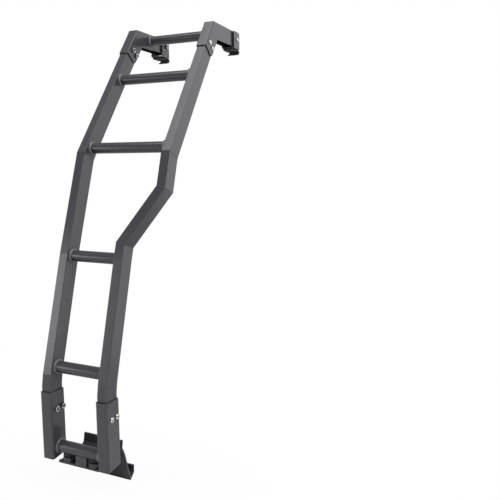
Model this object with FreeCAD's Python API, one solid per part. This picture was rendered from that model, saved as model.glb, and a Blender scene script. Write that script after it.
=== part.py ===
import FreeCAD, Part
import math
import os

V = FreeCAD.Vector
os.makedirs("parts", exist_ok=True)

# Frame: X to the right, Y toward the gate, Z up, all in mm.
# The origin is on the gate-side face of the hook plate's tab, which lies on the gate,
# midway between the two lower rails.

# Rails: rectangular tube
RAIL_WIDTH = 25.0
RAIL_DEPTH = 46.0
RAIL_WALL = 2.0
RAIL_CORNER = 1.2
LOWER_WIDTH = 186.4
UPPER_WIDTH = 277.5

# Rail path in the side view, built upward from the ankle, where the rail enters its sleeve.
# A lean is the angle from the vertical in degrees, positive where the top is nearer the gate.
ANKLE_Y = -79.1
ANKLE_Z = 136.5
SLEEVE_LEAN = -10.9
FOOT_LEAN = -1.0
FOOT_RISE = 26.7
LOWER_LEAN = 5.8
LOWER_RISE = 293.8
NECK_LEAN = 8.2
NECK_RISE = 264.2
UPPER_LEAN = 27.7
JOG_END_ABOVE_WAIST = 34.2
JOG_RISE = 142.5

# Rungs: round tube, each placed from the corner of the rails that it is nearest to
RUNG_RADIUS = 14.6
RUNG_WALL = 2.0
RUNG_2_ABOVE_BEND = 245.9
RUNG_3_ABOVE_BEND = 22.9
RUNG_4_BELOW_WAIST = 0.9
RUNG_5_ABOVE_KNEE = 18.3
RUNG_6_ABOVE_SLEEVE_END = 28.9
BEAD_REACH = 5.0
BEAD_RISE = 3.5
BEAD_EDGE = 0.4

# Foot sleeves: short boxes of wider tube round the rail feet
SLEEVE_GAP = 1.0
SLEEVE_WALL = 2.5
SLEEVE_CORNER = 5.0
SLEEVE_BELOW_ANKLE = 15.5
SLEEVE_HEIGHT = 167.0
SLEEVE_TOP_SLOPE = 4.0
RAIL_IN_SLEEVE = 90.0

# Top caps and arms: folded sheet channels
CAP_WALL = 2.5
CAP_GAP = 0.5
CAP_TOP = 463.0
CAP_LENGTH = 97.0
CAP_DEPTH = 49.0
CAP_TIP_RADIUS = 10.0
CAP_BEND = 2.5
ARM_SLOPE = 11.1
ARM_DEPTH = 47.5
ARM_LENGTH = 188.5
ARM_END_WALL = 2.5
RAIL_TOP_CLEARANCE = 8.0
TOP_RUNG_FROM_CAP_CORNER = 83.8
TOP_RUNG_BELOW_ARM_TOP = 5.8

# Top hooks: a bent bracket round each arm's end, its left one set lower than its right one
HOOK_SHEET = 3.0
HOOK_SIDE_GAP = 2.5
HOOK_LENGTH = 47.5
HOOK_PAST_ARM = 6.0
HOOK_TOP_DROP = 1.0
HOOK_GAP = 2.0
LEFT_HOOK_LOWER = 7.0
HOOK_CORNER = 7.0
HOOK_BEND = 3.0
TONGUE_WIDTH = 34.0
TONGUE_BACK = 8.3
TONGUE_DOWN = 6.3
TONGUE_TURN = 5.0
LIP_FORWARD = 13.0
LIP_DOWN = 5.2
PAD_THICKNESS = 3.0
STRIP_THICKNESS = 2.5
PAD_CORNER = 6.0
PAD_END_GAP = 1.0

# Hook plate under the gate
PLATE_SHEET = 4.0
TAB_TOP = 8.7
TAB_HEIGHT = 22.2
TAB_LEFT = -27.3
TAB_WIDTH = 113.0
SHOULDER = 10.5
SHOULDER_TOP = -11.4
SHOULDER_DROP = 8.2
LEDGE_FORWARD = 5.0
LEDGE_DOWN = 5.0
WALL_BACK = 40.0
WALL_DOWN = 76.5
LIP_BACK = 13.0
LIP_UP = 14.0
LIP_TOP_FORWARD = 3.0
LIP_TOP_UP = 18.0

# Base plate and its adjusters, placed from the lowest rung's axis
BASE_SIDE_GAP = 4.5
BASE_BELOW_RUNG = 32.6
BASE_BEFORE_RUNG = 9.2
BASE_SHEET = 4.0
BASE_CORNER = 4.0
CENTRE_TAB_LEFT = 4.0
CENTRE_TAB_WIDTH = 18.2
ADJUSTER_SPACING = 74.0
ADJUSTER_BEHIND_RUNG = 4.3
STUD_RADIUS = 6.0
BOSS_RADIUS = 15.5
BOSS_BELOW_RUNG = 18.3
ADJUSTER_NUT_FLATS = 28.5
ADJUSTER_NUT_HEIGHT = 11.0
THREAD_GAP = 0.2

# M8 fasteners
BOLT_RADIUS = 4.0
HEAD_RADIUS = 7.0
HEAD_TOP_RADIUS = 4.2
HEAD_HEIGHT = 4.4
NUT_FLATS = 13.0
NUT_HEIGHT = 6.5
BOLT_TAIL = 1.5
HOLE_GAP = 0.2
CAP_BOLT_FROM_TOP = 71.6
CAP_BOLT_PITCH = 23.0
CAP_BOLT_BACK = 1.5
SLEEVE_BOLT_BELOW_ANKLE = 57.4
SLEEVE_BOLT_PITCH = 23.0
SLEEVE_BOLT_BACK = 3.0
SLEEVE_BOLT_SLOPE = 6.0
HOOK_BOLT_FROM_ARM_END = 14.0
HOOK_BOLT_BELOW = 23.3

# Picking edges: how near an edge's middle has to be, and how many degrees off it may point
NEAR = 0.5
WITHIN_DEGREES = 8.0


def up_along(lean):
    """The unit vector up a rail with this lean."""
    a = math.radians(lean)
    return V(0, math.sin(a), math.cos(a))


def back_along(lean):
    """The unit vector across a rail with this lean, toward the gate."""
    a = math.radians(lean)
    return V(0, math.cos(a), -math.sin(a))


def same_way(edge, direction):
    cosine = abs(edge.tangentAt(edge.FirstParameter).dot(direction))
    return cosine > math.cos(math.radians(WITHIN_DEGREES))


def side_middle(shape):
    """The middle of an edge, seen from the side."""
    return V(0, shape.CenterOfMass.y, shape.CenterOfMass.z)


def yz(point):
    return (point.y, point.z)


def at_x(point, x_left):
    """A side view point moved to the middle of the rail whose left face is at x_left."""
    return V(x_left + RAIL_WIDTH / 2, point.y, point.z)


def crossing(p, d, q, e):
    """Where two lines in the side view cross."""
    k = d.y * e.z - d.z * e.y
    s = ((q.y - p.y) * e.z - (q.z - p.z) * e.y) / k
    return p + d * s


def save(name, solids):
    out = solids[0] if len(solids) == 1 else Part.makeCompound(solids)
    out.exportStep("parts/" + name + ".step")
    print(name, len(out.Solids), round(out.Volume / 1000, 1), out.isValid())


def prism(points, x_from, x_to):
    wire = Part.makePolygon([V(x_from, y, z) for y, z in points] + [V(x_from, *points[0])])
    return Part.Face(wire).extrude(V(x_to - x_from, 0, 0))


def cylinder(start, direction, radius, length):
    return Part.makeCylinder(radius, length, start, direction)


def hexagon(start, direction, flats, height):
    """A hexagonal bar with this width across its flats."""
    side = V(0, 1, 0) if abs(direction.z) > abs(direction.x) else V(0, 0, 1)
    other = direction.cross(side)
    radius = flats / 2 / math.cos(math.radians(30))
    loop = []
    for k in range(7):
        a = math.radians(60 * k + 30)
        loop.append(start + side * (radius * math.cos(a)) + other * (radius * math.sin(a)))
    return Part.Face(Part.makePolygon(loop)).extrude(direction * height)


def bent_sheet(points, thickness, x_from, x_to):
    """A sheet bent along a line of (y, z) points, with round bends."""
    parts = []
    for (y1, z1), (y2, z2) in zip(points, points[1:]):
        run = V(0, y2 - y1, z2 - z1)
        across = V(0, -run.z, run.y).normalize() * (thickness / 2)
        loop = [(y1 + across.y, z1 + across.z), (y2 + across.y, z2 + across.z),
                (y2 - across.y, z2 - across.z), (y1 - across.y, z1 - across.z)]
        parts.append(prism(loop, x_from, x_to))
    for y, z in points[1:-1]:
        parts.append(cylinder(V(x_from, y, z), V(1, 0, 0), thickness / 2, x_to - x_from))
    return parts[0].fuse(parts[1:]).removeSplitter()


# Path of the rails' centre line in the side view
sleeve_up = up_along(SLEEVE_LEAN)
foot_up = up_along(FOOT_LEAN)
lower_up = up_along(LOWER_LEAN)
neck_up = up_along(NECK_LEAN)
upper_up = up_along(UPPER_LEAN)
sleeve_back = back_along(SLEEVE_LEAN)
foot_back = back_along(FOOT_LEAN)
lower_back = back_along(LOWER_LEAN)
neck_back = back_along(NECK_LEAN)
upper_back = back_along(UPPER_LEAN)

ankle = V(0, ANKLE_Y, ANKLE_Z)
foot_end = ankle - sleeve_up * RAIL_IN_SLEEVE
knee = ankle + foot_up * (FOOT_RISE / foot_up.z)
waist = knee + lower_up * (LOWER_RISE / lower_up.z)
jog_end = waist + neck_up * (JOG_END_ABOVE_WAIST / neck_up.z)
jog_start = jog_end + neck_up * (JOG_RISE / neck_up.z)
bend = waist + neck_up * (NECK_RISE / neck_up.z)

left_x = -LOWER_WIDTH / 2
right_low_x = LOWER_WIDTH / 2 - RAIL_WIDTH
right_up_x = left_x + UPPER_WIDTH - RAIL_WIDTH

# Top cap and arm in the side view
cap_reach = CAP_GAP + CAP_WALL
cap_front = RAIL_DEPTH / 2 + cap_reach
cap_outer = RAIL_WIDTH + 2 * cap_reach
arm_out = V(0, math.cos(math.radians(ARM_SLOPE)), math.sin(math.radians(ARM_SLOPE)))
arm_down = V(0, math.sin(math.radians(ARM_SLOPE)), -math.cos(math.radians(ARM_SLOPE)))


def on_rail(along, depth):
    """A point of the upper rail: how far above the bend, and how far behind the centre line."""
    return bend + upper_up * along + upper_back * depth


cap_corner = on_rail(CAP_TOP, -cap_front)


def on_arm(along, below):
    """A point of the arm: how far along from its front top corner, and how far below its top."""
    return cap_corner + arm_out * along + arm_down * below


inner_corner = crossing(on_arm(0, ARM_DEPTH), arm_out, on_rail(0, CAP_DEPTH - cap_front), upper_up)
rail_top_along = (inner_corner - bend).dot(upper_up) - RAIL_TOP_CLEARANCE
top_end = on_rail(rail_top_along, 0)

# A length that every cutting tool has to spare, and the size of a tool that cuts everything
spare = 2 * (RAIL_DEPTH + RAIL_IN_SLEEVE)
everything = 2 * (top_end - foot_end).Length


# Rails
def half_space(point, normal):
    """A big block on the side of the plane that the normal points to."""
    side = V(1, 0, 0) if abs(normal.x) < abs(normal.z) else V(0, 0, 1)
    a = normal.cross(side).normalize() * everything
    b = normal.cross(a).normalize() * everything
    loop = [point - a - b, point + a - b, point + a + b, point - a + b, point - a - b]
    return Part.Face(Part.makePolygon(loop)).extrude(normal * everything)


def bar(start, along, back, length, width, depth, corner):
    """A solid bar centred on a line, its width across the line and its depth along back."""
    across = back.cross(along)
    first = start - across * (width / 2) - back * (depth / 2)
    loop = [first, first + across * width, first + across * width + back * depth,
            first + back * depth, first]
    solid = Part.Face(Part.makePolygon(loop)).extrude(along * length)
    if corner <= 0:
        return solid
    return solid.makeFillet(corner, [e for e in solid.Edges if same_way(e, along)])


def tube_piece(start, end, back, start_normal, end_normal, width, depth, wall, corner):
    """A straight length of rectangular tube, cut by a plane at each end."""
    along = (end - start).normalize()
    first = start - along * spare
    length = (end - start).Length + 2 * spare
    outer = bar(first, along, back, length, width, depth, corner)
    inner = bar(first, along, back, length, width - 2 * wall, depth - 2 * wall,
                max(corner - wall, 0.0))
    tube = outer.cut(inner)
    tube = tube.cut(half_space(start, start_normal * -1))
    return tube.cut(half_space(end, end_normal))


def mitre(before, corner, after):
    """The normal of the plane in which two lengths of tube meet."""
    return ((corner - before).normalize() + (after - corner).normalize()).normalize()


def rail_run(path, backs, first, last):
    """The tubes from one point of the path to another, mitred and joined where it turns."""
    tubes = []
    for i in range(first, last):
        tubes.append(tube_piece(path[i], path[i + 1], backs[i],
                                mitre(path[i - 1], path[i], path[i + 1]),
                                mitre(path[i], path[i + 1], path[i + 2]),
                                RAIL_WIDTH, RAIL_DEPTH, RAIL_WALL, RAIL_CORNER))
    return tubes[0] if len(tubes) == 1 else tubes[0].fuse(tubes[1:])


above_top = top_end + upper_up * spare
below_foot = foot_end - sleeve_up * spare
left_path = [at_x(p, left_x) for p in (above_top, top_end, bend, waist, knee, ankle, foot_end,
                                       below_foot)]
left_backs = [upper_back, upper_back, neck_back, lower_back, foot_back, sleeve_back]
right_path = [at_x(p, right_up_x) for p in (above_top, top_end, bend, jog_start)]
right_path += [at_x(p, right_low_x) for p in (jog_end, waist, knee, ankle, foot_end, below_foot)]
right_backs = [upper_back, upper_back, neck_back, neck_back, neck_back, lower_back, foot_back,
               sleeve_back]

rails = {
    "left_rail_upper": rail_run(left_path, left_backs, 1, 2),
    "left_rail_main": rail_run(left_path, left_backs, 2, 4),
    "left_rail_foot": rail_run(left_path, left_backs, 4, 6),
    "right_rail_upper": rail_run(right_path, right_backs, 1, 2),
    "right_rail_neck": rail_run(right_path, right_backs, 2, 3),
    "right_rail_jog": rail_run(right_path, right_backs, 3, 4),
    "right_rail_lower": rail_run(right_path, right_backs, 4, 6),
    "right_rail_foot": rail_run(right_path, right_backs, 6, 8),
}


# Foot sleeves
sleeve_reach = SLEEVE_GAP + SLEEVE_WALL
sleeve_width = RAIL_WIDTH + 2 * sleeve_reach
sleeve_depth = RAIL_DEPTH + 2 * sleeve_reach
sleeve_top_z = ANKLE_Z - SLEEVE_BELOW_ANKLE
sleeve_end_z = sleeve_top_z - SLEEVE_HEIGHT


def on_sleeve(z_front, depth):
    """A point of the sleeve: the height on its front face, and how far behind the centre line."""
    front = ankle - sleeve_back * (sleeve_depth / 2)
    along = (z_front - front.z) / sleeve_up.z
    return front + sleeve_up * along + sleeve_back * (depth + sleeve_depth / 2)


def sleeve(x_left):
    start = at_x(on_sleeve(sleeve_end_z, 0), x_left)
    over_top = at_x(on_sleeve(sleeve_top_z, 0), x_left) + sleeve_up * sleeve_depth
    box = tube_piece(start, over_top, sleeve_back, sleeve_up, sleeve_up, sleeve_width, sleeve_depth,
                     SLEEVE_WALL, SLEEVE_CORNER)
    slope = math.radians(SLEEVE_TOP_SLOPE)
    top_normal = V(0, -math.sin(slope), math.cos(slope))
    return box.cut(half_space(at_x(on_sleeve(sleeve_top_z, -sleeve_depth / 2), x_left), top_normal))


sleeves = {"left_foot_sleeve": sleeve(left_x), "right_foot_sleeve": sleeve(right_low_x)}


# Top caps: channels over the rail tops, open toward the gate
def cap(x_left):
    x0 = x_left - cap_reach
    low_front = on_rail(CAP_TOP - CAP_LENGTH, -cap_front)
    low_back = on_rail(CAP_TOP - CAP_LENGTH, CAP_DEPTH - cap_front)
    body = prism([yz(cap_corner), yz(low_front), yz(low_back), yz(inner_corner)], x0, x0 + cap_outer)
    tip = [e for e in body.Edges if same_way(e, V(1, 0, 0))
           and (side_middle(e) - low_back).Length < NEAR]
    body = body.makeFillet(CAP_TIP_RADIUS, tip)
    folds = [e for e in body.Edges if same_way(e, upper_up)
             and abs((side_middle(e) - cap_corner).dot(upper_back)) < NEAR]
    body = body.makeFillet(CAP_BEND, folds)
    front = CAP_WALL - cap_front
    room = [on_rail(CAP_TOP + spare, front), on_rail(CAP_TOP - CAP_LENGTH - spare, front),
            on_rail(CAP_TOP - CAP_LENGTH - spare, spare), on_rail(CAP_TOP + spare, spare)]
    return body.cut(prism([yz(p) for p in room], x0 + CAP_WALL, x0 + cap_outer - CAP_WALL))


# Top arms: channels that go on from the caps, open underneath and closed at the end
def arm(x_left):
    x0 = x_left - cap_reach
    outline = [cap_corner, on_arm(ARM_LENGTH, 0), on_arm(ARM_LENGTH, ARM_DEPTH), inner_corner]
    body = prism([yz(p) for p in outline], x0, x0 + cap_outer)
    folds = [e for e in body.Edges if same_way(e, arm_out)
             and abs((side_middle(e) - cap_corner).dot(arm_down)) < NEAR]
    body = body.makeFillet(CAP_BEND, folds)
    room_end = ARM_LENGTH - ARM_END_WALL
    room = [on_arm(-spare, CAP_WALL), on_arm(room_end, CAP_WALL), on_arm(room_end, spare),
            on_arm(-spare, spare)]
    return body.cut(prism([yz(p) for p in room], x0 + CAP_WALL, x0 + cap_outer - CAP_WALL))


caps = {"left_top_cap": cap(left_x), "right_top_cap": cap(right_up_x)}
arms = {"left_top_arm": arm(left_x), "right_top_arm": arm(right_up_x)}


# Top hooks: plates on both sides of the arm and a flange under it, then a narrower tongue
# and a lip that comes forward again. Under the flange lie a rubber pad and a softer strip.
hook_end = ARM_LENGTH + HOOK_PAST_ARM
hook_start = hook_end - HOOK_LENGTH
hook_reach = cap_reach + HOOK_SIDE_GAP + HOOK_SHEET


def hook(x_left, lower):
    """The bracket of one arm, with its flange and lip this much lower, its pad and its strip."""
    middle = x_left + RAIL_WIDTH / 2
    x0 = x_left - hook_reach
    x1 = x_left + RAIL_WIDTH + hook_reach
    flange_top = ARM_DEPTH + HOOK_GAP + lower
    flange_mid = flange_top + HOOK_SHEET / 2
    flange_low = flange_top + HOOK_SHEET
    outline = [on_arm(hook_start, HOOK_TOP_DROP), on_arm(hook_end, HOOK_TOP_DROP),
               on_arm(hook_end, flange_low), on_arm(hook_start, flange_low)]
    bracket = prism([yz(p) for p in outline], x0, x1)
    corner = [e for e in bracket.Edges if same_way(e, V(1, 0, 0))
              and (side_middle(e) - outline[1]).Length < NEAR]
    bracket = bracket.makeFillet(HOOK_CORNER, corner)
    bends = [e for e in bracket.Edges if same_way(e, arm_out)
             and abs((side_middle(e) - outline[2]).dot(arm_down)) < NEAR]
    bracket = bracket.makeFillet(HOOK_BEND, bends)
    room = [on_arm(-spare, -spare), on_arm(hook_end + spare, -spare),
            on_arm(hook_end + spare, flange_top), on_arm(-spare, flange_top)]
    bracket = bracket.cut(prism([yz(p) for p in room], x0 + HOOK_SHEET, x1 - HOOK_SHEET))
    tongue_end = hook_end + TONGUE_BACK
    turn = flange_mid + TONGUE_DOWN
    line = [on_arm(hook_end - TONGUE_BACK, flange_mid), on_arm(hook_end, flange_mid),
            on_arm(tongue_end, turn), on_arm(tongue_end, turn + TONGUE_TURN),
            on_arm(tongue_end - LIP_FORWARD, turn + TONGUE_TURN + LIP_DOWN)]
    tongue = bent_sheet([yz(p) for p in line], HOOK_SHEET, middle - TONGUE_WIDTH / 2,
                        middle + TONGUE_WIDTH / 2)

    def layer(top, thickness):
        """A sheet under the flange with round front corners."""
        low = top + thickness
        rear = hook_end - PAD_END_GAP
        outline = [on_arm(hook_start, top), on_arm(rear, top), on_arm(rear, low),
                   on_arm(hook_start, low)]
        sheet = prism([yz(p) for p in outline], x0 + HOOK_BEND, x1 - HOOK_BEND)
        front = [e for e in sheet.Edges if same_way(e, arm_down)
                 and abs((side_middle(e) - outline[0]).dot(arm_out)) < NEAR]
        return sheet.makeFillet(PAD_CORNER, front)

    pad = layer(flange_low, PAD_THICKNESS)
    strip = layer(flange_low + PAD_THICKNESS, STRIP_THICKNESS)
    return bracket.fuse(tongue).removeSplitter(), pad, strip


left_hook, left_pad, left_strip = hook(left_x, LEFT_HOOK_LOWER)
right_hook, right_pad, right_strip = hook(right_up_x, 0.0)
hooks = {"left_top_hook": left_hook, "right_top_hook": right_hook}
pads = {"left_hook_pad": left_pad, "right_hook_pad": right_pad,
        "left_hook_strip": left_strip, "right_hook_strip": right_strip}


# Rungs, with a weld bead round each end
def bead(centre, direction):
    cone = Part.makeCone(RUNG_RADIUS + BEAD_RISE, RUNG_RADIUS + BEAD_EDGE, BEAD_REACH, centre,
                         direction)
    return cone.cut(cylinder(centre - direction * BEAD_REACH, direction, RUNG_RADIUS,
                             3 * BEAD_REACH))


def rung(place, x_from, x_to):
    start = V(x_from, place.y, place.z)
    tube = cylinder(start, V(1, 0, 0), RUNG_RADIUS, x_to - x_from)
    tube = tube.cut(cylinder(start, V(1, 0, 0), RUNG_RADIUS - RUNG_WALL, x_to - x_from))
    ends = [bead(start, V(1, 0, 0)), bead(V(x_to, place.y, place.z), V(-1, 0, 0))]
    return tube, ends


rung_1_place = on_arm(TOP_RUNG_FROM_CAP_CORNER, RUNG_RADIUS + TOP_RUNG_BELOW_ARM_TOP)
rung_2_place = bend + upper_up * (RUNG_2_ABOVE_BEND / upper_up.z)
rung_3_place = bend + upper_up * (RUNG_3_ABOVE_BEND / upper_up.z)
rung_4_place = waist - lower_up * (RUNG_4_BELOW_WAIST / lower_up.z)
rung_5_place = knee + lower_up * (RUNG_5_ABOVE_KNEE / lower_up.z)
rung_6_z = sleeve_end_z + RUNG_6_ABOVE_SLEEVE_END
rung_6_place = ankle - sleeve_up * ((ANKLE_Z - rung_6_z) / sleeve_up.z)

inner_left = left_x + RAIL_WIDTH
rung_ends = {
    "rung_1": (rung_1_place, inner_left + cap_reach, right_up_x - cap_reach),
    "rung_2": (rung_2_place, inner_left, right_up_x),
    "rung_3": (rung_3_place, inner_left, right_up_x),
    "rung_4": (rung_4_place, inner_left, right_low_x),
    "rung_5": (rung_5_place, inner_left, right_low_x),
    "rung_6": (rung_6_place, inner_left + sleeve_reach, right_low_x - sleeve_reach),
}
rungs = {}
beads = []
for name, (place, x_from, x_to) in rung_ends.items():
    rungs[name], ends = rung(place, x_from, x_to)
    beads += ends

# Hook plate: a tab on the gate, a wall that slants down behind it and a lip.
# The wall reaches further to the right than the tab, below a slanting shoulder.
tab_back = -PLATE_SHEET / 2
tab_low = TAB_TOP - TAB_HEIGHT
tab_right = TAB_LEFT + TAB_WIDTH
ledge = (tab_back - LEDGE_FORWARD, tab_low - LEDGE_DOWN)
wall_low = (ledge[0] + WALL_BACK, ledge[1] - WALL_DOWN)
lip_turn = (wall_low[0] + LIP_BACK, wall_low[1] + LIP_UP)
lip_top = (lip_turn[0] - LIP_TOP_FORWARD, lip_turn[1] + LIP_TOP_UP)
plate_line = [(tab_back, TAB_TOP), (tab_back, tab_low), ledge, wall_low, lip_turn, lip_top]
hook_plate = bent_sheet(plate_line, PLATE_SHEET, TAB_LEFT, tab_right + SHOULDER)
beside_tab = [(tab_right, TAB_TOP + SHOULDER), (tab_right, SHOULDER_TOP),
              (tab_right + SHOULDER, SHOULDER_TOP - SHOULDER_DROP),
              (tab_right + 2 * SHOULDER, SHOULDER_TOP - SHOULDER_DROP),
              (tab_right + 2 * SHOULDER, TAB_TOP + SHOULDER)]
notch = Part.Face(Part.makePolygon([V(x, -spare, z) for x, z in beside_tab + beside_tab[:1]]))
hook_plate = hook_plate.cut(notch.extrude(V(0, 2 * spare, 0)))

# Base plate, from in front of the lowest rung back to the hook plate's wall
base_top_z = rung_6_z - BASE_BELOW_RUNG
base_front_y = rung_6_place.y - BASE_BEFORE_RUNG
base_half_width = LOWER_WIDTH / 2 - RAIL_WIDTH - sleeve_reach - BASE_SIDE_GAP
base_plate = Part.makeBox(2 * base_half_width, spare, BASE_SHEET,
                          V(-base_half_width, base_front_y, base_top_z - BASE_SHEET))
front_corners = [e for e in base_plate.Edges if same_way(e, V(0, 0, 1))
                 and abs(e.CenterOfMass.y - base_front_y) < NEAR]
base_plate = base_plate.makeFillet(BASE_CORNER, front_corners)
wall_normal = V(0, WALL_DOWN, WALL_BACK).normalize()
wall_front = V(0, *ledge) - wall_normal * (PLATE_SHEET / 2)
base_plate = base_plate.cut(half_space(wall_front, wall_normal))

# Centre tab, from the base plate up to the lowest rung
rung_core = cylinder(V(-LOWER_WIDTH, rung_6_place.y, rung_6_z), V(1, 0, 0), RUNG_RADIUS,
                     2 * LOWER_WIDTH)
centre_tab = Part.makeBox(CENTRE_TAB_WIDTH, BASE_SHEET, BASE_BELOW_RUNG,
                          V(CENTRE_TAB_LEFT, base_front_y, base_top_z))
centre_tab = min(centre_tab.cut(rung_core).Solids, key=lambda s: s.CenterOfMass.z)

# Adjusters: a boss under the rung, a stud through the base plate and a nut on it
adjuster_y = rung_6_place.y + ADJUSTER_BEHIND_RUNG
bosses = []
studs = []
adjuster_nuts = []
for x in (-ADJUSTER_SPACING / 2, ADJUSTER_SPACING / 2):
    boss_low = V(x, adjuster_y, rung_6_z - BOSS_BELOW_RUNG)
    plate_top = V(x, adjuster_y, base_top_z)
    plate_low = plate_top - V(0, 0, BASE_SHEET)
    boss = cylinder(boss_low, V(0, 0, 1), BOSS_RADIUS, BOSS_BELOW_RUNG).cut(rung_core)
    bosses.append(min(boss.Solids, key=lambda s: s.CenterOfMass.z))
    studs.append(cylinder(plate_low, V(0, 0, 1), STUD_RADIUS, boss_low.z - plate_low.z))
    hole = cylinder(plate_low, V(0, 0, 1), STUD_RADIUS + THREAD_GAP, BASE_BELOW_RUNG)
    nut = hexagon(plate_top, V(0, 0, 1), ADJUSTER_NUT_FLATS, ADJUSTER_NUT_HEIGHT)
    adjuster_nuts.append(nut.cut(hole))
    base_plate = base_plate.cut(hole)


# Bolts along X, each with its head on one face and its nut on the other
def through_bolt(place, head_face, nut_face):
    direction = V(1, 0, 0) if nut_face > head_face else V(-1, 0, 0)
    start = V(head_face, place.y, place.z)
    far = V(nut_face, place.y, place.z)
    shank = cylinder(start, direction, BOLT_RADIUS, abs(nut_face - head_face) + NUT_HEIGHT + BOLT_TAIL)
    head = Part.makeCone(HEAD_TOP_RADIUS, HEAD_RADIUS, HEAD_HEIGHT, start - direction * HEAD_HEIGHT,
                         direction)
    nut = hexagon(far, direction, NUT_FLATS, NUT_HEIGHT)
    nut = nut.cut(cylinder(far, direction, BOLT_RADIUS + HOLE_GAP, NUT_HEIGHT))
    return shank.fuse(head), nut


def drill(shapes, names, places):
    for name in names:
        for place in places:
            hole = cylinder(V(2 * left_x, place.y, place.z), V(1, 0, 0), BOLT_RADIUS + HOLE_GAP,
                            2 * UPPER_WIDTH)
            shapes[name] = shapes[name].cut(hole)


cap_middle = on_rail(CAP_TOP - CAP_BOLT_FROM_TOP, CAP_BOLT_BACK)
cap_places = [cap_middle - upper_back * (CAP_BOLT_PITCH / 2),
              cap_middle + upper_back * (CAP_BOLT_PITCH / 2)]
sleeve_middle = ankle - sleeve_up * SLEEVE_BOLT_BELOW_ANKLE + sleeve_back * SLEEVE_BOLT_BACK
bolt_line = back_along(-SLEEVE_BOLT_SLOPE)
sleeve_places = [sleeve_middle - bolt_line * (SLEEVE_BOLT_PITCH / 2),
                 sleeve_middle + bolt_line * (SLEEVE_BOLT_PITCH / 2)]
hook_places = [on_arm(ARM_LENGTH - HOOK_BOLT_FROM_ARM_END, HOOK_BOLT_BELOW)]

drill(rails, ("left_rail_upper", "right_rail_upper"), cap_places)
drill(rails, ("left_rail_foot", "right_rail_foot"), sleeve_places)
drill(caps, caps.keys(), cap_places)
drill(sleeves, sleeves.keys(), sleeve_places)
drill(arms, arms.keys(), hook_places)
drill(hooks, hooks.keys(), hook_places)

# All heads are on the ladder's outer sides
fastened = {
    "cap": (cap_places, [(left_x - cap_reach, inner_left + cap_reach),
                         (right_up_x + RAIL_WIDTH + cap_reach, right_up_x - cap_reach)]),
    "foot": (sleeve_places, [(left_x - sleeve_reach, inner_left + sleeve_reach),
                             (right_low_x + RAIL_WIDTH + sleeve_reach, right_low_x - sleeve_reach)]),
    "hook": (hook_places, [(left_x - hook_reach, inner_left + hook_reach),
                           (right_up_x + RAIL_WIDTH + hook_reach, right_up_x - hook_reach)]),
}

for group in (rails, sleeves, rungs, caps, arms, hooks, pads):
    for name, shape in group.items():
        save(name, shape.Solids)
save("weld_beads", [s for b in beads for s in b.Solids])
save("hook_plate", hook_plate.Solids)
save("base_plate", base_plate.Solids)
save("centre_tab", centre_tab.Solids)
save("adjuster_bosses", bosses)
save("adjuster_studs", studs)
save("adjuster_nuts", adjuster_nuts)
for name, (places, faces) in fastened.items():
    pairs = [through_bolt(place, *face) for place in places for face in faces]
    save(name + "_bolts", [bolt for bolt, nut in pairs])
    save(name + "_nuts", [nut for bolt, nut in pairs])
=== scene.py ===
# %% [markdown]
# # A rear gate ladder
# The ladder hangs on the outside of a vehicle's rear gate. Two rails of box-section tube
# carry six round rungs, and hooks hold it over the gate's top and bottom edges.
# The solids come from the CAD model, already in the right place and size. Blender adds what
# CAD leaves plain: the coating, the screws' sockets, the welds, the light and the camera.

# %% Frame
import math

import bmesh
import bpy
from mathutils import Matrix, Quaternion, Vector
from mathutils.geometry import convex_hull_2d
from mathutils.kdtree import KDTree


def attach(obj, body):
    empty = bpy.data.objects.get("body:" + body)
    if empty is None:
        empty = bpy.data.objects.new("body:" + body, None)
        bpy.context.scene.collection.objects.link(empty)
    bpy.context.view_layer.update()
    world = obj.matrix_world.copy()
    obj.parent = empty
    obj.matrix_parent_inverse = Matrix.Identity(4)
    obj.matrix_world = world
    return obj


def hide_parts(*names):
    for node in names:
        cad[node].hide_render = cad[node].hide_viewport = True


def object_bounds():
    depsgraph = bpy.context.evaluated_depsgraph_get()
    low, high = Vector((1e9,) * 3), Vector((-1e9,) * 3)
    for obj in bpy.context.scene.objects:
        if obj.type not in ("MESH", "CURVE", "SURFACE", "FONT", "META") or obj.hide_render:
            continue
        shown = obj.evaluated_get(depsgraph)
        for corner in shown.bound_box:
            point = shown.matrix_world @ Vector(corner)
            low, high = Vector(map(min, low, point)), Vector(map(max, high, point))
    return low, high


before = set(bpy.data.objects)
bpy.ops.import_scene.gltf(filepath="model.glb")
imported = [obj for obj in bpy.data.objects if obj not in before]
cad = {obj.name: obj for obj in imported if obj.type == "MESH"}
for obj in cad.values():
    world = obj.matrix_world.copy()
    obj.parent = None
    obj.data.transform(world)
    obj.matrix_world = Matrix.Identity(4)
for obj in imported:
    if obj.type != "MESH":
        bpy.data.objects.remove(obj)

cad_low, cad_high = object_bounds()
print("CAD nodes:", len(cad), "box:", [round(v, 3) for v in (*cad_low, *cad_high)])

MM = 0.001

# %% [markdown]
# ## Nodes as Python
# A material or a geometry tree is a graph of nodes. Building one by hand in a script is long,
# so one small class holds a socket and lets Python's own operators add the Math nodes: a
# line such as `0.4 + 0.2 * noise` then reads like the formula that it is. Its reflected
# operators make `1 - mask` work as well. Any other node comes from a single method.

# %% Sockets and graphs
class Socket:
    """An output socket that can be used in a Python expression."""

    def __init__(self, graph, socket):
        self.graph = graph
        self.socket = socket

    def maths(self, operation, first, second):
        return self.graph.node("ShaderNodeMath", {"operation": operation}, {0: first, 1: second})

    def __add__(self, other):
        return self.maths("ADD", self, other)

    def __radd__(self, other):
        return self.maths("ADD", other, self)

    def __sub__(self, other):
        return self.maths("SUBTRACT", self, other)

    def __rsub__(self, other):
        return self.maths("SUBTRACT", other, self)

    def __mul__(self, other):
        return self.maths("MULTIPLY", self, other)

    def __rmul__(self, other):
        return self.maths("MULTIPLY", other, self)


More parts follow.
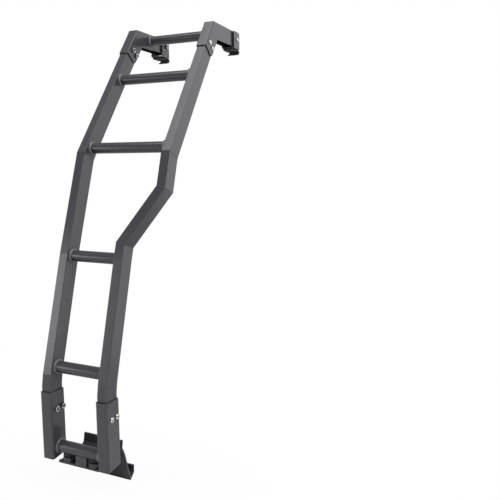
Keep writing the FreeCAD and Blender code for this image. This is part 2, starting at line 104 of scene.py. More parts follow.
class Graph:
    """A node tree under construction."""

    def __init__(self, tree):
        self.tree = tree
        self.tree.nodes.clear()

    def node(self, kind, settings=None, sockets=None, out=0):
        """Adds a node, sets it, fills its sockets with values or links, and gives an output."""
        made = self.tree.nodes.new(kind)
        for key, value in (settings or {}).items():
            setattr(made, key, value)
        for key, value in (sockets or {}).items():
            target = made.inputs[key]
            if isinstance(value, Socket):
                self.tree.links.new(value.socket, target)
            else:
                target.default_value = value
        return Socket(self, made.outputs[out]) if len(made.outputs) else made

    def ramp(self, value, low, high):
        """0 below low, 1 above high, and a smooth rise between."""
        return self.node("ShaderNodeMapRange", {"interpolation_type": "SMOOTHSTEP", "clamp": True},
                         {0: value, 1: low, 2: high, 3: 0.0, 4: 1.0})

    def mix(self, factor, first, second):
        """A blend of two colours."""
        made = self.tree.nodes.new("ShaderNodeMix")
        made.data_type = "RGBA"
        for key, value in (("Factor_Float", factor), ("A_Color", first), ("B_Color", second)):
            target = next(s for s in made.inputs if s.identifier == key)
            if isinstance(value, Socket):
                self.tree.links.new(value.socket, target)
            else:
                target.default_value = value
        return Socket(self, next(s for s in made.outputs if s.identifier == "Result_Color"))


def grey(level, red=0.0, blue=0.0):
    """A nearly neutral colour, with this share more of red and of blue than of green."""
    return (level * (1 + red), level, level * (1 + blue), 1.0)


print("mid grey as written:", grey(0.5))

# %% [markdown]
# ## Camera
# The camera stands to the right of the ladder, at about waist height, and looks slightly up.
# Its place, angles and lens were solved from the edges of the rails and rungs. Perspective
# alone doesn't tell where a picture was cropped, so the lens shift moves the ladder to the
# left of the square frame, where the photograph has it.

# %% Camera
PICTURE = 500
FOCAL_PIXELS = 544.9
CENTRE_PIXELS = (210.29, 204.23)
CAMERA_PLACE = Vector((0.8022, -1.2083, 0.5035))
YAW, PITCH, ROLL = math.radians(23.17), math.radians(4.25), math.radians(-3.23)

camera_data = bpy.data.cameras.new("camera")
camera_data.sensor_width = 36.0
camera_data.lens = FOCAL_PIXELS / PICTURE * camera_data.sensor_width
camera_data.shift_x = 0.5 - CENTRE_PIXELS[0] / PICTURE
camera_data.shift_y = CENTRE_PIXELS[1] / PICTURE - 0.5
camera = bpy.data.objects.new("camera", camera_data)
bpy.context.scene.collection.objects.link(camera)
turned = (Matrix.Rotation(YAW, 4, "Z") @ Matrix.Rotation(PITCH, 4, "X")
          @ Matrix.Rotation(ROLL, 4, "Y") @ Matrix.Rotation(math.radians(90), 4, "X"))
camera.matrix_world = Matrix.Translation(CAMERA_PLACE) @ turned
bpy.context.scene.camera = camera
print("lens", round(camera_data.lens, 2), "mm, shift", round(camera_data.shift_x, 3),
      round(camera_data.shift_y, 3))

# %% [markdown]
# ## Powder coat
# Powder coat is plastic powder melted on to steel. It is semi-gloss, with a very fine pebbled
# skin. Three sizes of noise give the pebbles, the soft patches and the slow drift in tone.
# The Bevel node rounds the sharp edges of the sheet metal in the shading alone, and where its
# normal leaves the true one there is an edge; there the colour is made lighter, a painted
# highlight. The Ambient Occlusion node finds the narrow gaps between pieces, and there the
# colour is made nearly black, painted shade. Black coats are seldom neutral, so each finish
# has a cast: this one is slightly blue. Everything reads Object coordinates, so nothing slides
# or needs a UV map.

# %% Coated steel
# How much more red and blue than green each cast has
COOL = (0.03, 0.17)
NEUTRAL = (0.02, 0.05)
WARM = (0.05, -0.06)
BROWN = (0.12, -0.12)
# Painted highlight: how far the colour along sharp edges is lightened
PAINTED_EDGE_HIGHLIGHT = 0.5
GAP_WIDTH = 12 * MM
# Painted shade: the colour that narrow gaps between pieces are darkened to
PAINTED_GAP_SHADE = grey(0.006)


def coated_steel(name, base, roughness, pebble_mm, edge_round_mm=0.8, shade=0.85, shine=0.5,
                 cast=COOL):
    """A painted or rubbery finish: base tone, pebble size, painted edge highlight, painted gap
    shade.
    """
    material = bpy.data.materials.new(name)
    material.use_nodes = True
    g = Graph(material.node_tree)
    place = g.node("ShaderNodeTexCoord", out="Object")
    pebbles = g.node("ShaderNodeTexNoise", None,
                     {"Vector": place, "Scale": 1000 / pebble_mm, "Detail": 2.0, "Roughness": 0.5})
    patches = g.node("ShaderNodeTexNoise", None,
                     {"Vector": place, "Scale": 120.0, "Detail": 4.0, "Roughness": 0.6})
    drift = g.node("ShaderNodeTexNoise", None, {"Vector": place, "Scale": 7.0, "Detail": 2.0})
    rounded = g.node("ShaderNodeBevel", {"samples": 6}, {"Radius": edge_round_mm * MM})
    true_normal = g.node("ShaderNodeNewGeometry", out="Normal")
    same = g.node("ShaderNodeVectorMath", {"operation": "DOT_PRODUCT"},
                  {0: rounded, 1: true_normal}, out="Value")
    edge = g.ramp(1.0 - same, 0.02, 0.25)
    tone = g.ramp(0.55 * drift + 0.45 * patches, 0.3, 0.7)
    body = g.mix(tone, grey(base * 0.92, *cast), grey(base * 1.08, *cast))
    speckled = g.mix(g.ramp(pebbles, 0.52, 0.72) * 0.12, body, grey(base * 1.55, *cast))
    # Painted highlight: the colour is lightened where the bevelled normal leaves the true one
    edge_highlighted = g.mix(edge * PAINTED_EDGE_HIGHLIGHT, speckled, grey(base * 1.9, *cast))
    open_air = g.node("ShaderNodeAmbientOcclusion", {"samples": 8}, {"Distance": GAP_WIDTH},
                      out="AO")
    # Painted shade: where the AO finds a narrow gap, the colour goes towards nearly black
    gap_shade_mask = 1.0 - g.ramp(open_air, 0.32, 0.88)
    colour = g.mix(gap_shade_mask * shade, edge_highlighted, PAINTED_GAP_SHADE)
    bumped = g.node("ShaderNodeBump", None, {"Strength": 0.10, "Distance": 0.10 * MM,
                                             "Height": pebbles, "Normal": rounded})
    rough = roughness + 0.06 * (patches - 0.5) + 0.06 * edge + 0.4 * shade * gap_shade_mask
    shader = g.node("ShaderNodeBsdfPrincipled", None,
                    {"Base Color": colour, "Roughness": rough, "Normal": bumped,
                     "Specular IOR Level": shine})
    g.node("ShaderNodeOutputMaterial", None, {"Surface": shader})
    return material


powder_coat = coated_steel("powder_coat", 0.060, 0.24, 0.7)
folded_coat = coated_steel("folded_coat", 0.060, 0.24, 0.7, 1.6)
rung_coat = coated_steel("rung_coat", 0.058, 0.20, 0.7)
# Painted highlight: the welds' coat is lighter than the tubes' and gets no painted gap shade
weld_highlight_coat = coated_steel("weld_highlight_coat", 0.155, 0.30, 0.5, shade=0.0)
# Painted shade: the plates' coat is darker than the rails' for the shade they lie in
shaded_plate_coat = coated_steel("shaded_plate_coat", 0.044, 0.31, 0.7)
dark_steel = coated_steel("dark_steel", 0.052, 0.30, 0.5)
# Black rubber made darker still: partly its own colour, partly painted shade under the flange
rubber = coated_steel("rubber", 0.012, 0.80, 0.4, shine=0.15, cast=BROWN)
boss_coat = coated_steel("boss_coat", 0.020, 0.55, 0.5, shine=0.3, cast=NEUTRAL)
# Painted shade: the light brownish lining is darkened for the shade under the hook
soft_strip = coated_steel("soft_strip", 0.075, 0.85, 0.6, shine=0.15, cast=WARM)
print("coats:", [m.name for m in (powder_coat, folded_coat, rung_coat, weld_highlight_coat, shaded_plate_coat,
                                   dark_steel, rubber, boss_coat, soft_strip)])

# %% [markdown]
# ## Stainless steel
# The screws and nuts are turned stainless steel. Fine rings from the turning tool would need
# a direction on each screw, so a stretched noise across the screw's axis, which is always X
# here, does the same job with Object coordinates alone. The threaded shank is darker than the
# head: the screws carry a point attribute, thread, which is 1 on the shank, and the colour
# blends by it. At the foot of a head and inside its socket the colour is darkened: painted shade.

# %% Stainless steel
THREAD = (0.11, 0.12, 0.155, 1.0)
SOCKET_WIDTH = 10 * MM


def turned_steel(name, base, roughness):
    """Bare metal with turning marks, smudges, a darker thread and painted shade in gaps."""
    material = bpy.data.materials.new(name)
    material.use_nodes = True
    g = Graph(material.node_tree)
    place = g.node("ShaderNodeTexCoord", out="Object")
    stretched = g.node("ShaderNodeVectorMath", {"operation": "MULTIPLY"},
                       {0: place, 1: (3000.0, 500.0, 500.0)})
    marks = g.node("ShaderNodeTexNoise", None, {"Vector": stretched, "Scale": 1.0, "Detail": 2.0})
    smudge = g.node("ShaderNodeTexNoise", None, {"Vector": place, "Scale": 260.0, "Detail": 3.0})
    bare = g.mix(g.ramp(smudge, 0.35, 0.7), grey(base * 0.86, 0.02, -0.04),
                 grey(base, 0.02, -0.05))
    thread = g.node("ShaderNodeAttribute", {"attribute_name": "thread"}, out="Fac")
    open_air = g.node("ShaderNodeAmbientOcclusion", {"samples": 8}, {"Distance": SOCKET_WIDTH},
                      out="AO")
    gap_shade_mask = 1.0 - g.ramp(open_air, 0.35, 0.95)
    # Painted shade: the colour darkens at the foot of a head and inside its socket
    colour = g.mix(gap_shade_mask * 0.85, g.mix(thread, bare, THREAD), grey(0.02))
    rough = roughness + 0.14 * (smudge - 0.5)
    bumped = g.node("ShaderNodeBump", None,
                    {"Strength": 0.25, "Distance": 0.05 * MM, "Height": marks})
    shader = g.node("ShaderNodeBsdfPrincipled", None,
                    {"Base Color": colour, "Roughness": rough, "Normal": bumped, "Metallic": 1.0})
    g.node("ShaderNodeOutputMaterial", None, {"Surface": shader})
    return material


stainless = turned_steel("stainless", 0.74, 0.22)
print("bare steel:", stainless.name)

# %% [markdown]
# ## Dressing the CAD solids
# A CAD solid whose shape is right keeps its mesh and only gets a finish. The names of the
# solids say what each one is, so a part of the name picks the finish. The rungs' coat is
# a little smoother than the rails', and folded sheet has a wider round at its edges. The plates
# below get a darker coat, painted shade. The hooks' pads are black rubber made darker still,
# painted shade under the flange, and the light lining strips under them are darkened as
# painted shade.

# %% Finishes on the CAD solids
for name, solid in cad.items():
    finish = powder_coat
    if name.startswith("rung_"):
        finish = rung_coat
    if "_cap" in name or "_arm" in name or "_sleeve" in name:
        finish = folded_coat
    if name in ("hook_plate", "base_plate"):
        finish = shaded_plate_coat
    if name in ("adjuster_studs", "adjuster_nuts"):
        finish = dark_steel
    if "_pad" in name:
        finish = rubber
    if name == "adjuster_bosses":
        finish = boss_coat
    if "_strip" in name:
        finish = soft_strip
    for slot in solid.material_slots:
        slot.material = finish
print("dressed", len(cad), "solids")

# %% [markdown]
# ## Finding the fasteners
# Each screw, nut and weld needs its place. The CAD solids already have it, so the script
# measures them instead of repeating numbers: a node with several solids is split into its
# separate lumps, and each lump's box gives its middle, its reach along X and its wide end.
# The lumps are taken in the mesh's own order and sorted by place, so that every run has
# the same order and two lists of the same node always match.

# %% Lumps of a CAD node
def lumps(node_name):
    """The separate solids of a node, each as a list of points."""
    copy = bmesh.new()
    copy.from_mesh(cad[node_name].data)
    bmesh.ops.remove_doubles(copy, verts=copy.verts, dist=1e-6)
    taken = set()
    found = []
    for start in copy.verts:
        if start in taken:
            continue
        taken.add(start)
        stack = [start]
        lump = []
        while stack:
            vertex = stack.pop()
            lump.append(vertex.co.copy())
            for edge in vertex.link_edges:
                other = edge.other_vert(vertex)
                if other not in taken:
                    taken.add(other)
                    stack.append(other)
        found.append(lump)
    copy.free()
    return sorted(found, key=lambda lump: [round(sum(p[axis] for p in lump) / len(lump), 5)
                                           for axis in (2, 1, 0)])


END_BAND = 5 * MM


def along_x(points):
    """(middle of the wide end, direction from the wide end to the narrow one, length)."""
    low, high = min(p.x for p in points), max(p.x for p in points)
    y = (min(p.y for p in points) + max(p.y for p in points)) / 2
    z = (min(p.z for p in points) + max(p.z for p in points)) / 2

    def reach(x):
        return max((p.y - y) ** 2 + (p.z - z) ** 2 for p in points if abs(p.x - x) < END_BAND)

    wide_low = reach(low) >= reach(high)
    wide_end = Vector((low if wide_low else high, y, z))
    return wide_end, Vector((1 if wide_low else -1, 0, 0)), high - low


places = {name: [along_x(lump) for lump in lumps(name)]
          for name in ("cap_bolts", "foot_bolts", "hook_bolts", "cap_nuts", "foot_nuts",
                       "hook_nuts")}
for name, found in places.items():
    print(name, len(found), "first at", [round(v, 4) for v in found[0][0]])

# %% [markdown]
# ## Scattering with Geometry Nodes
# All screws of one kind are the same thing in several places, which is what instancing is
# for. Each place is a point that carries its direction as an attribute. The tree puts the
# template on the points, turns it to the direction, spins it by a seeded random angle, as
# screws never stop at the same angle, and ends by making the instances real. The turn and
# the spin are needed again for the welds, so one function adds their nodes to any tree.

# %% Scatter tree
def new_tree(name, inputs):
    """A geometry tree with named inputs; gives its graph and the inputs by name."""
    tree = bpy.data.node_groups.new(name, "GeometryNodeTree")
    g = Graph(tree)
    for label, kind, value in inputs:
        socket = tree.interface.new_socket(label, in_out="INPUT", socket_type=kind)
        if value is not None:
            socket.default_value = value
    tree.interface.new_socket("Geometry", in_out="OUTPUT", socket_type="NodeSocketGeometry")
    entry = tree.nodes.new("NodeGroupInput")
    return g, {label: Socket(g, entry.outputs[label]) for label, kind, value in inputs}


def close_tree(g, geometry, material_input):
    real = g.node("GeometryNodeRealizeInstances", None, {"Geometry": geometry})
    done = g.node("GeometryNodeSetMaterial", None, {"Geometry": real, "Material": material_input})
    g.node("NodeGroupOutput", None, {"Geometry": done})
    return g.tree


def run_tree(name, start_mesh, tree, values):
    """Puts the tree on a mesh, sets its inputs by identifier and keeps the result as a mesh."""
    carrier = bpy.data.objects.new(name + "_carrier", start_mesh)
    bpy.context.scene.collection.objects.link(carrier)
    modifier = carrier.modifiers.new("nodes", "NODES")
    modifier.node_group = tree
    identifiers = {item.name: item.identifier for item in tree.interface.items_tree
                   if item.item_type == "SOCKET" and item.in_out == "INPUT"}
    for label, value in values.items():
        modifier[identifiers[label]] = value
    carrier.update_tag()
    bpy.context.view_layer.update()
    graph = bpy.context.evaluated_depsgraph_get()
    mesh = bpy.data.meshes.new_from_object(carrier.evaluated_get(graph))
    mesh.name = name
    bpy.data.objects.remove(carrier)
    piece = bpy.data.objects.new(name, mesh)
    bpy.context.scene.collection.objects.link(piece)
    return piece


def on_points(g, start, instance, spin_range, spin_seed):
    """Puts an instance on each point, along its direction and spun about it by chance."""
    direction = g.node("GeometryNodeInputNamedAttribute", {"data_type": "FLOAT_VECTOR"},
                       {"Name": "direction"})
    aimed = g.node("FunctionNodeAlignRotationToVector", {"axis": "Z"}, {"Vector": direction})
    spin = g.node("FunctionNodeRandomValue", {"data_type": "FLOAT"},
                  {2: 0.0, 3: spin_range, "Seed": spin_seed}, out=1)
    spin_turn = g.node("FunctionNodeAxisAngleToRotation", None,
                       {"Axis": (0.0, 0.0, 1.0), "Angle": spin})
    facing = g.node("FunctionNodeRotateRotation", {"rotation_space": "LOCAL"},
                    {"Rotation": aimed, "Rotate By": spin_turn})
    points = g.node("GeometryNodeMeshToPoints", None, {"Mesh": start})
    return g.node("GeometryNodeInstanceOnPoints", None,
                  {"Points": points, "Instance": instance, "Rotation": facing})


g, given = new_tree("scatter", [
    ("Geometry", "NodeSocketGeometry", None), ("Template", "NodeSocketObject", None),
    ("Spin Seed", "NodeSocketInt", 1), ("Spin Range", "NodeSocketFloat", 1.0),
    ("Material", "NodeSocketMaterial", None)])
template = g.node("GeometryNodeObjectInfo", None, {"Object": given["Template"]}, out="Geometry")
scattered = on_points(g, given["Geometry"], template, given["Spin Range"], given["Spin Seed"])
scatter_tree = close_tree(g, scattered, given["Material"])


def point_mesh(name, spots):
    """Loose points with a direction each."""
    mesh = bpy.data.meshes.new(name)
    mesh.from_pydata([spot for spot, way in spots], [], [])
    attribute = mesh.attributes.new("direction", "FLOAT_VECTOR", "POINT")
    attribute.data.foreach_set("vector", [c for spot, way in spots for c in way])
    return mesh


def hidden_template(name, mesh):
    """An object for a tree to copy, which doesn't render itself."""
    shape = bpy.data.objects.new(name, mesh)
    bpy.context.scene.collection.objects.link(shape)
    shape.hide_render = True
    return shape


print("scatter tree:", len(scatter_tree.nodes), "nodes")

# %% [markdown]
# ## Button-head screws
# A button head is a low dome with a hexagonal socket. Stacking rings of points from the
# socket's floor to the thread's tip and joining each ring to the next gives the whole screw
# as one closed skin. The socket's rings follow a hexagon and the dome's rings a circle: with
# the same number of points on both, they join without a seam. The sizes are those of an M8
# screw, and the length is measured on the CAD bolt that it replaces.

# %% Stacked rings
RING = 36


def hex_reach(angle, flats):
    """How far a hexagon's side is from its middle at this angle."""
    return flats / 2 / math.cos((angle % math.radians(60)) - math.radians(30))


def stacked(name, rings):
    """A closed skin through rings; each is (height, shape), and shape(angle) is a radius."""
    bm = bmesh.new()
    loops = []
    for height, shape in rings:
        loop = []
        for k in range(RING):
            a = 2 * math.pi * k / RING
            loop.append(bm.verts.new((shape(a) * math.cos(a), shape(a) * math.sin(a), height)))
        loops.append(loop)
    for lower, upper in zip(loops, loops[1:]):
        for k in range(RING):
            n = (k + 1) % RING
            bm.faces.new((lower[k], lower[n], upper[n], upper[k]))
    bm.faces.new(list(reversed(loops[0])))
    bm.faces.new(loops[-1])
    bmesh.ops.recalc_face_normals(bm, faces=bm.faces)
    mesh = bpy.data.meshes.new(name)
    bm.to_mesh(mesh)
    bm.free()
    return mesh


def circle(radius):
    return lambda angle: radius


def button_screw(name, length):
    """A screw from its head's top at z = 0 to its tip at z = length, as the CAD bolt has it."""
    head, head_radius, flat_radius, shank = 4.4 * MM, 7.0 * MM, 3.9 * MM, 4.0 * MM
    flats, depth = 5.0 * MM, 2.6 * MM
    rings = [(depth, lambda a: hex_reach(a, flats)), (0.15 * MM, lambda a: hex_reach(a, flats)),
             (0.0, lambda a: hex_reach(a, flats * 1.06)), (0.0, circle(flat_radius))]
    for k in range(1, 7):
        t = math.radians(15 * k)
        radius = flat_radius + (head_radius - flat_radius) * math.sin(t)
        rings.append((head * 0.86 * (1 - math.cos(t)), circle(radius)))
    rings += [(head - 0.2 * MM, circle(head_radius)), (head, circle(head_radius - 0.25 * MM)),
              (head, circle(shank)), (length - 0.6 * MM, circle(shank)),
              (length, circle(shank - 0.6 * MM))]
    mesh = stacked(name, rings)
    thread = mesh.attributes.new("thread", "FLOAT", "POINT")
    thread.data.foreach_set("value", [float(v.co.z > head + 0.1 * MM) for v in mesh.vertices])
    return mesh


for node_name in ("cap_bolts", "foot_bolts", "hook_bolts"):
    spots = [(middle, way) for middle, way, length in places[node_name]]
    screw = hidden_template(node_name + "_template",
                            button_screw(node_name + "_template", places[node_name][0][2]))
    piece = run_tree(node_name.replace("bolts", "screws"), point_mesh(node_name, spots),
                     scatter_tree,
                     {"Template": screw, "Spin Seed": 3, "Spin Range": 1.0, "Material": stainless})
    bpy.data.objects.remove(screw)
    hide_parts(node_name)
    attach(piece, "root")
    print(piece.name, len(piece.data.polygons), "faces at", len(spots), "places")

# %% [markdown]
# ## Nuts
# A nut is a hexagon whose corners are turned down to a cone at both faces. Taking the smaller
# of the hexagon and a circle at the end rings cuts exactly those arcs into the flats.

# %% Hexagon nuts
def chamfered_nut(name, flats, height, bore):
    """A nut from z = 0 to z = height."""
    def cut(angle):
        return min(hex_reach(angle, flats), flats / 2 * 1.02)

    def full(angle):
        return hex_reach(angle, flats)

    rise, land = flats * 0.055, circle(flats * 0.46)
    rings = [(height, circle(bore)), (0.0, circle(bore)), (0.0, land), (0.0, cut), (rise, full),
             (height - rise, full), (height, cut), (height, land), (height, circle(bore))]
    mesh = stacked(name, rings)
    bm = bmesh.new()
    bm.from_mesh(mesh)
    # The first and last ring are the same circle: without their lids they merge, and the bore
    # is open
    lids = [f for f in bm.faces if len(f.verts) == RING]
    bmesh.ops.delete(bm, geom=lids, context="FACES_ONLY")
    bmesh.ops.remove_doubles(bm, verts=bm.verts, dist=1e-6)
    bmesh.ops.recalc_face_normals(bm, faces=bm.faces)
    bm.to_mesh(mesh)
    bm.free()
    return mesh


for node_name in ("cap_nuts", "foot_nuts", "hook_nuts"):
    spots = [(Vector((min(p.x for p in lump), middle.y, middle.z)), Vector((1, 0, 0)))
             for lump, (middle, way, length) in zip(lumps(node_name), places[node_name])]
    nut = hidden_template(node_name + "_template",
                          chamfered_nut(node_name + "_template", 13.0 * MM, 6.5 * MM, 4.2 * MM))
    piece = run_tree(node_name.replace("nuts", "hex_nuts"), point_mesh(node_name, spots),
                     scatter_tree,
                     {"Template": nut, "Spin Seed": 8, "Spin Range": 1.0, "Material": stainless})
    bpy.data.objects.remove(nut)
    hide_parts(node_name)
    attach(piece, "root")
    print(piece.name, len(piece.data.polygons), "faces at", len(spots), "places")

# %% [markdown]
# ## Adjuster nuts
# The two adjusters have the same chamfered nut, only larger and standing on the base plate.
# Their axis is Z, so the direction of each point is straight up.

# %% Adjuster nuts
spots = []
for lump in lumps("adjuster_nuts"):
    x = (min(p.x for p in lump) + max(p.x for p in lump)) / 2
    y = (min(p.y for p in lump) + max(p.y for p in lump)) / 2
    spots.append((Vector((x, y, min(p.z for p in lump))), Vector((0, 0, 1))))
nut = hidden_template("adjuster_template",
                      chamfered_nut("adjuster_template", 28.5 * MM, 11.0 * MM, 6.2 * MM))
piece = run_tree("adjuster_hex_nuts", point_mesh("adjusters", spots), scatter_tree,
                 {"Template": nut, "Spin Seed": 5, "Spin Range": 0.5, "Material": dark_steel})
bpy.data.objects.remove(nut)
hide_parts("adjuster_nuts")
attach(piece, "root")
print(piece.name, len(piece.data.polygons), "faces")

# %% [markdown]
# ## Weld beads
# A weld bead round a rung is a row of overlapping ripples left as the torch moves. The tree
# makes one ring from its rule: a circle whose thickness rises and falls many times on the way
# round, swept with an oval section. The ring is then put at each end of each rung. The beads'
# coat is lighter than the tubes', a painted highlight for the light that the beads catch.

# %% Weld rings
BEAD = {"Rung Radius": 14.6 * MM, "Ripples": 46, "Ripple Depth": 0.10, "Across": 4.0 * MM,
        "Along": 5.0 * MM, "Spin Seed": 11}
STEPS_A_RIPPLE = 4
FULL_TURN = 6.28
g, given = new_tree(
    "weld_rings", [("Geometry", "NodeSocketGeometry", None)]
    + [(label, "NodeSocketInt" if isinstance(value, int) else "NodeSocketFloat", value)
       for label, value in BEAD.items()] + [("Material", "NodeSocketMaterial", None)])
steps = given["Ripples"] * STEPS_A_RIPPLE
ring = g.node("GeometryNodeCurvePrimitiveCircle", {"mode": "RADIUS"},
              {"Resolution": steps, "Radius": given["Rung Radius"]})
index = g.node("GeometryNodeInputIndex")
wave = g.node("ShaderNodeMath", {"operation": "SINE"}, {0: index * (math.pi / STEPS_A_RIPPLE)})
hump = g.node("ShaderNodeMath", {"operation": "ABSOLUTE"}, {0: wave})
swell = 1.0 + given["Ripple Depth"] * hump
rippled = g.node("GeometryNodeSetCurveRadius", None, {"Curve": ring, "Radius": swell})
section = g.node("GeometryNodeCurvePrimitiveCircle", {"mode": "RADIUS"},
                 {"Resolution": 10, "Radius": 1.0})
size = g.node("ShaderNodeCombineXYZ", None, {"X": given["Across"], "Y": given["Along"], "Z": 1.0})
oval = g.node("GeometryNodeTransform", None, {"Geometry": section, "Scale": size})
swept = g.node("GeometryNodeCurveToMesh", None, {"Curve": rippled, "Profile Curve": oval})
smooth = g.node("GeometryNodeSetShadeSmooth", None, {"Geometry": swept})
rings = on_points(g, given["Geometry"], smooth, FULL_TURN, given["Spin Seed"])
weld_tree = close_tree(g, rings, given["Material"])

spots = [along_x(lump)[:2] for lump in lumps("weld_beads")]
piece = run_tree("weld_rings", point_mesh("weld_points", spots), weld_tree,
                 {**BEAD, "Material": weld_highlight_coat})
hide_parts("weld_beads")
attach(piece, "root")
print(piece.name, len(piece.data.polygons), "faces at", len(spots), "places")

# %% [markdown]
# ## Seams at the rail corners
# The rails are straight tubes, cut at a slant and welded. The ground weld still shows through
# the coat as a thin raised line. Two tubes that meet share the points of their cut, so the
# line's path is the outer hull of the points which both meshes have, and a tree sweeps
# a round section along it, with a little noise in its thickness. The CAD has no solid for
# these lines, so the piece stands beside the solids and replaces none.

# %% Rail seams
SEAM_RADIUS = 0.8 * MM
SEAM_UNEVENNESS = 0.5
MEETINGS = [("left_rail_upper", "left_rail_main"), ("left_rail_main", "left_rail_foot"),
            ("right_rail_upper", "right_rail_neck"), ("right_rail_neck", "right_rail_jog"),
            ("right_rail_jog", "right_rail_lower"), ("right_rail_lower", "right_rail_foot")]


def shared_loop(first, second):
    """The outer hull of the points that two solids share, in order round the tube."""
    near = KDTree(len(cad[second].data.vertices))
    for k, vertex in enumerate(cad[second].data.vertices):
        near.insert(vertex.co, k)
    near.balance()
    shared = [v.co.copy() for v in cad[first].data.vertices if near.find(v.co)[2] < 1e-5]
    # Seen along the vertical, the slanted cut still has every point of the tube's outline
    hull = convex_hull_2d([(p.x, p.y) for p in shared])
    # The foremost seam sinks into the tube, so that it stays inside the CAD model's box
    foremost = cad_low.y + SEAM_RADIUS * (1 + SEAM_UNEVENNESS / 2)
    for p in shared:
        p.y = max(p.y, foremost)
    return [shared[k] for k in hull]


paths = bmesh.new()
for pair in MEETINGS:
    loop = [paths.verts.new(p) for p in shared_loop(*pair)]
    for k, vertex in enumerate(loop):
        paths.edges.new((vertex, loop[(k + 1) % len(loop)]))
    print(pair[1], "meets with", len(loop), "points")
seam_mesh = bpy.data.meshes.new("seam_paths")
paths.to_mesh(seam_mesh)
paths.free()

g, given = new_tree("rail_seams", [
    ("Geometry", "NodeSocketGeometry", None), ("Radius", "NodeSocketFloat", SEAM_RADIUS),
    ("Unevenness", "NodeSocketFloat", SEAM_UNEVENNESS),
    ("Material", "NodeSocketMaterial", None)])
path = g.node("GeometryNodeMeshToCurve", None, {"Mesh": given["Geometry"]})
path = g.node("GeometryNodeResampleCurve", {"mode": "LENGTH"}, {"Curve": path, "Length": 0.0012})
noise = g.node("ShaderNodeTexNoise", {"noise_dimensions": "3D"}, {"Scale": 500.0, "Detail": 1.0})
swell = 1.0 + given["Unevenness"] * (noise - 0.5)
path = g.node("GeometryNodeSetCurveRadius", None, {"Curve": path, "Radius": swell})
section = g.node("GeometryNodeCurvePrimitiveCircle", {"mode": "RADIUS"},
                 {"Resolution": 8, "Radius": given["Radius"]})
line = g.node("GeometryNodeCurveToMesh", None, {"Curve": path, "Profile Curve": section})
line = g.node("GeometryNodeSetShadeSmooth", None, {"Geometry": line})
seam_tree = close_tree(g, line, given["Material"])
piece = run_tree("rail_seams", seam_mesh, seam_tree,
                 {"Radius": SEAM_RADIUS, "Unevenness": SEAM_UNEVENNESS, "Material": powder_coat})
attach(piece, "root")
print(piece.name, len(piece.data.polygons), "faces")

# %% [markdown]
# ## Floor and light
# The photograph looks like a white studio's. Where each flat face mirrors the room says what
# stands there. A large light overhead stops short on the left, so it shines back off the
# right-hand rail's upper part and not off the left one. A lamp low on the left is mirrored by
# the left rail's lower part, and a small one on the right lights the outer sides. The room is
# brighter behind than in front, most of all behind on the right. The floor is matt near the
# ladder, where it takes the shadow, and is mirrored in the coat as white only farther away.
# The camera sees the floor and the room as white, and that lights nothing.

# %% Stage
HALF = 14.0
LEVEL = cad_low.z - 2 * MM
MIDDLE = (0.05, -0.05)
DARK_SPOT = (0.20, 0.30)
NEAR_PAPER, FAR_PAPER = grey(0.75), grey(0.08)


def stage_floor():
    """White to the camera away from the ladder, and near it a matt floor that takes its shadow."""
    material = bpy.data.materials.new("studio_floor")
    material.use_nodes = True
    g = Graph(material.node_tree)
    place = g.node("ShaderNodeTexCoord", out="Object")
    from_middle = g.node("ShaderNodeVectorMath", {"operation": "DISTANCE"},
                         {0: place, 1: (*MIDDLE, LEVEL)}, out="Value")
    from_spot = g.node("ShaderNodeVectorMath", {"operation": "DISTANCE"},
                       {0: place, 1: (*DARK_SPOT, LEVEL)}, out="Value")
    back = g.node("ShaderNodeSeparateXYZ", None, {0: place}, out="Y")
    away = g.ramp(from_middle, 0.15, 0.55)
    paper = g.mix(g.ramp(from_middle, 0.4, 1.7), NEAR_PAPER, FAR_PAPER)
    paint = g.node("ShaderNodeBsdfDiffuse", None, {"Color": paper})
    glow = g.node("ShaderNodeEmission", None, {"Color": grey(1.0), "Strength": 1.0})
    seen = g.node("ShaderNodeLightPath", out="Is Camera Ray")
    shiny = g.node("ShaderNodeLightPath", out="Is Glossy Ray")
    mirrored = 0.75 * g.ramp(from_spot, 0.5, 1.4) + 0.20 * g.ramp(back, 0.5, 1.2)
    white = seen * (0.96 + 0.04 * away) + shiny * mirrored
    mixed = g.node("ShaderNodeMixShader", None, {0: white, 1: paint, 2: glow})
    g.node("ShaderNodeOutputMaterial", None, {"Surface": mixed})
    return material


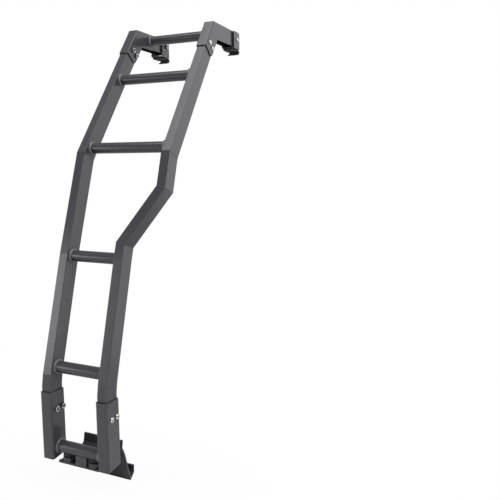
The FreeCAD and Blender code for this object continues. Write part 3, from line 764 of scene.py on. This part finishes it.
floor_mesh = bpy.data.meshes.new("studio_floor")
floor_mesh.from_pydata([(-HALF, -HALF, LEVEL), (HALF, -HALF, LEVEL), (HALF, HALF, LEVEL),
                        (-HALF, HALF, LEVEL)], [], [(0, 1, 2, 3)])
floor_mesh.materials.append(stage_floor())
floor = bpy.data.objects.new("studio_floor", floor_mesh)
bpy.context.scene.collection.objects.link(floor)

world = bpy.data.worlds.new("studio")
bpy.context.scene.world = world
world.use_nodes = True
g = Graph(world.node_tree)
way = g.node("ShaderNodeTexCoord", out="Generated")
up = g.node("ShaderNodeSeparateXYZ", None, {0: way}, out="Z")
behind = g.node("ShaderNodeSeparateXYZ", None, {0: way}, out="Y")
right = g.node("ShaderNodeSeparateXYZ", None, {0: way}, out="X")
low_down = 1.0 - 0.45 * g.ramp(up, 0.3, 0.75)
back_light = (0.28 + 0.52 * g.ramp(right, -0.4, 0.4)) * g.ramp(behind, -0.3, 0.5) * low_down
level = 0.28 + back_light
ambient = g.node("ShaderNodeBackground", None, {"Color": grey(1.0), "Strength": level})
backdrop = g.node("ShaderNodeBackground", None, {"Color": grey(1.0), "Strength": 1.0})
seen = g.node("ShaderNodeLightPath", out="Is Camera Ray")
shared = g.node("ShaderNodeMixShader", None, {0: seen, 1: ambient, 2: backdrop})
g.node("ShaderNodeOutputWorld", None, {"Surface": shared})


def softbox(name, place, aim, width, height, power, turn=0.0):
    """A rectangular lamp that faces its aim, turned in its own plane by some degrees."""
    data = bpy.data.lights.new(name, "AREA")
    data.shape = "RECTANGLE"
    data.size, data.size_y, data.energy = width, height, power
    lamp = bpy.data.objects.new(name, data)
    bpy.context.scene.collection.objects.link(lamp)
    lamp.location = place
    facing = (Vector(aim) - Vector(place)).to_track_quat("-Z", "Y")
    lamp.rotation_euler = (facing @ Quaternion((0, 0, 1), math.radians(turn))).to_euler()
    return lamp


softbox("overhead", (0.063, -1.01, 2.7), (0.063, -1.01, 0.0), 2.0, 2.0, 42.0, -38.0)
softbox("from_right", (1.5, -0.35, 1.3), (0.1, 0.0, 0.7), 0.6, 0.8, 11.0)
softbox("from_left", (-1.98, -1.83, 0.35), (0.0, 0.0, 0.35), 1.2, 1.2, 19.0)
bpy.context.scene.view_settings.view_transform = "Standard"
print("floor at", round(LEVEL, 4))
